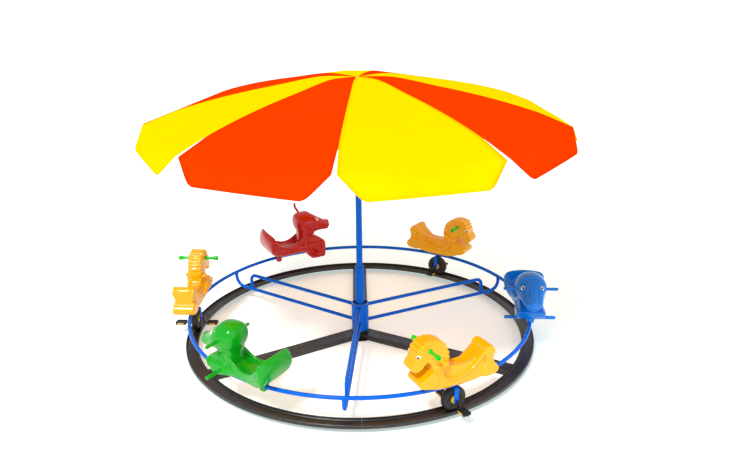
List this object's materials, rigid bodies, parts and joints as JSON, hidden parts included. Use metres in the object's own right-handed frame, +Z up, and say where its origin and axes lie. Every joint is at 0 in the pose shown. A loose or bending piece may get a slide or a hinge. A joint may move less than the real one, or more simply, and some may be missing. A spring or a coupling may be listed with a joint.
{
  "type": "playground roundabout",
  "caption": "Playground roundabout with animal ride-on seats on a spinning tube ring, pedal wheels in a round track, and a striped canopy on a centre pole.",
  "frame": {"origin": "on the pole's axis at floor level, under the base bars", "axes": "+Z up along the pole; the picture's camera looks along +Y; azimuths run counter-clockwise from +X"},
  "size_m": [3.299, 3.2988, 2.182],
  "materials": {
    "track_paint": "satin black paint",
    "blue_paint": "glossy blue powder coat",
    "bare_steel": "galvanised",
    "canopy_yellow": "coated canopy cloth",
    "canopy_orange": "coated canopy cloth",
    "lion_plastic": "moulded plastic",
    "handle_plastic": "moulded plastic",
    "blue_plastic": "moulded plastic",
    "red_plastic": "moulded plastic",
    "green_plastic": "moulded plastic",
    "tyre_rubber": "solid rubber",
    "hub_yellow": "moulded plastic",
    "pedal_black": "moulded plastic"
  },
  "bodies": {
    "base": {"track_rail_1": "track_paint", "track_rail_2": "track_paint", "track_rail_3": "track_paint", "base_bar_1": "track_paint", "base_bar_2": "track_paint", "base_bar_3": "track_paint", "centre_post": "track_paint", "lower_pole": "blue_paint", "upper_mast": "blue_paint", "canopy_ribs": "bare_steel", "canopy_braces": "bare_steel", "canopy_panel_1": "canopy_yellow", "canopy_panel_2": "canopy_orange", "canopy_panel_3": "canopy_yellow", "canopy_panel_4": "canopy_orange", "canopy_panel_5": "canopy_yellow", "canopy_panel_6": "canopy_yellow", "canopy_panel_7": "canopy_orange", "canopy_panel_8": "canopy_yellow", "canopy_panel_9": "canopy_orange"},
    "carousel": {"hub_sleeve": "blue_paint", "hub_bush": "bare_steel", "seat_ring_1": "blue_paint", "seat_ring_2": "blue_paint", "seat_ring_3": "blue_paint", "lower_spoke_1": "blue_paint", "lower_spoke_2": "blue_paint", "lower_spoke_3": "blue_paint", "upper_spoke_1": "blue_paint", "upper_spoke_2": "blue_paint", "upper_spoke_3": "blue_paint", "lion_seat_front": "lion_plastic", "lion_seat_back": "lion_plastic", "lion_seat_left": "lion_plastic", "lion_handle_front": "handle_plastic", "lion_handle_back": "handle_plastic", "lion_handle_left": "handle_plastic", "dog_seat_blue": "blue_plastic", "dog_seat_red": "red_plastic", "dog_seat_green": "green_plastic", "wheel_fork_front": "blue_paint", "wheel_fork_back": "blue_paint", "wheel_fork_left": "blue_paint"},
    "wheel_front": {"tyre_front": "tyre_rubber", "wheel_centre_front": "hub_yellow", "crank_axle_front": "bare_steel"},
    "pedal_outer_front_turning": {"pedal_outer_front": "pedal_black"},
    "pedal_inner_front_turning": {"pedal_inner_front": "pedal_black"},
    "wheel_back": {"tyre_back": "tyre_rubber", "wheel_centre_back": "hub_yellow", "crank_axle_back": "bare_steel"},
    "pedal_outer_back_turning": {"pedal_outer_back": "pedal_black"},
    "pedal_inner_back_turning": {"pedal_inner_back": "pedal_black"},
    "wheel_left": {"tyre_left": "tyre_rubber", "wheel_centre_left": "hub_yellow", "crank_axle_left": "bare_steel"},
    "pedal_outer_left_turning": {"pedal_outer_left": "pedal_black"},
    "pedal_inner_left_turning": {"pedal_inner_left": "pedal_black"}
  },
  "joints": [
    {"name": "carousel_spin", "type": "hinge", "parent": "base", "child": "carousel", "pos_m": [0, 0, 0.147], "axis": [0, 0, 1], "continuous": true},
    {"name": "wheel_front_roll", "type": "hinge", "parent": "carousel", "child": "wheel_front", "pos_m": [0.63736, -1.23751, 0.1433], "axis": [0.4579, -0.889, 0], "continuous": true},
    {"name": "pedal_outer_front_turn", "type": "hinge", "parent": "wheel_front", "child": "pedal_outer_front_turning", "pos_m": [0.69826, -1.35575, 0.1053], "axis": [0.4579, -0.889, 0], "continuous": true},
    {"name": "pedal_inner_front_turn", "type": "hinge", "parent": "wheel_front", "child": "pedal_inner_front_turning", "pos_m": [0.57646, -1.11927, 0.1053], "axis": [0.4579, -0.889, 0], "continuous": true},
    {"name": "wheel_back_roll", "type": "hinge", "parent": "carousel", "child": "wheel_back", "pos_m": [0.76931, 1.1601, 0.1433], "axis": [0.5527, 0.8334, 0], "continuous": true},
    {"name": "pedal_outer_back_turn", "type": "hinge", "parent": "wheel_back", "child": "pedal_outer_back_turning", "pos_m": [0.84281, 1.27094, 0.1053], "axis": [0.5527, 0.8334, 0], "continuous": true},
    {"name": "pedal_inner_back_turn", "type": "hinge", "parent": "wheel_back", "child": "pedal_inner_back_turning", "pos_m": [0.69581, 1.04926, 0.1053], "axis": [0.5527, 0.8334, 0], "continuous": true},
    {"name": "wheel_left_roll", "type": "hinge", "parent": "carousel", "child": "wheel_left", "pos_m": [-1.39016, 0.07164, 0.1433], "axis": [-0.9987, 0.0515, 0], "continuous": true},
    {"name": "pedal_outer_left_turn", "type": "hinge", "parent": "wheel_left", "child": "pedal_outer_left_turning", "pos_m": [-1.52298, 0.07848, 0.1053], "axis": [-0.9987, 0.0515, 0], "continuous": true},
    {"name": "pedal_inner_left_turn", "type": "hinge", "parent": "wheel_left", "child": "pedal_inner_left_turning", "pos_m": [-1.25733, 0.06479, 0.1053], "axis": [-0.9987, 0.0515, 0], "continuous": true}
  ],
  "couplings": [
    {"joint": "wheel_front_roll", "follows": "carousel_spin", "ratio": -14.809},
    {"joint": "wheel_back_roll", "follows": "carousel_spin", "ratio": -14.809},
    {"joint": "wheel_left_roll", "follows": "carousel_spin", "ratio": -14.809}
  ]
}
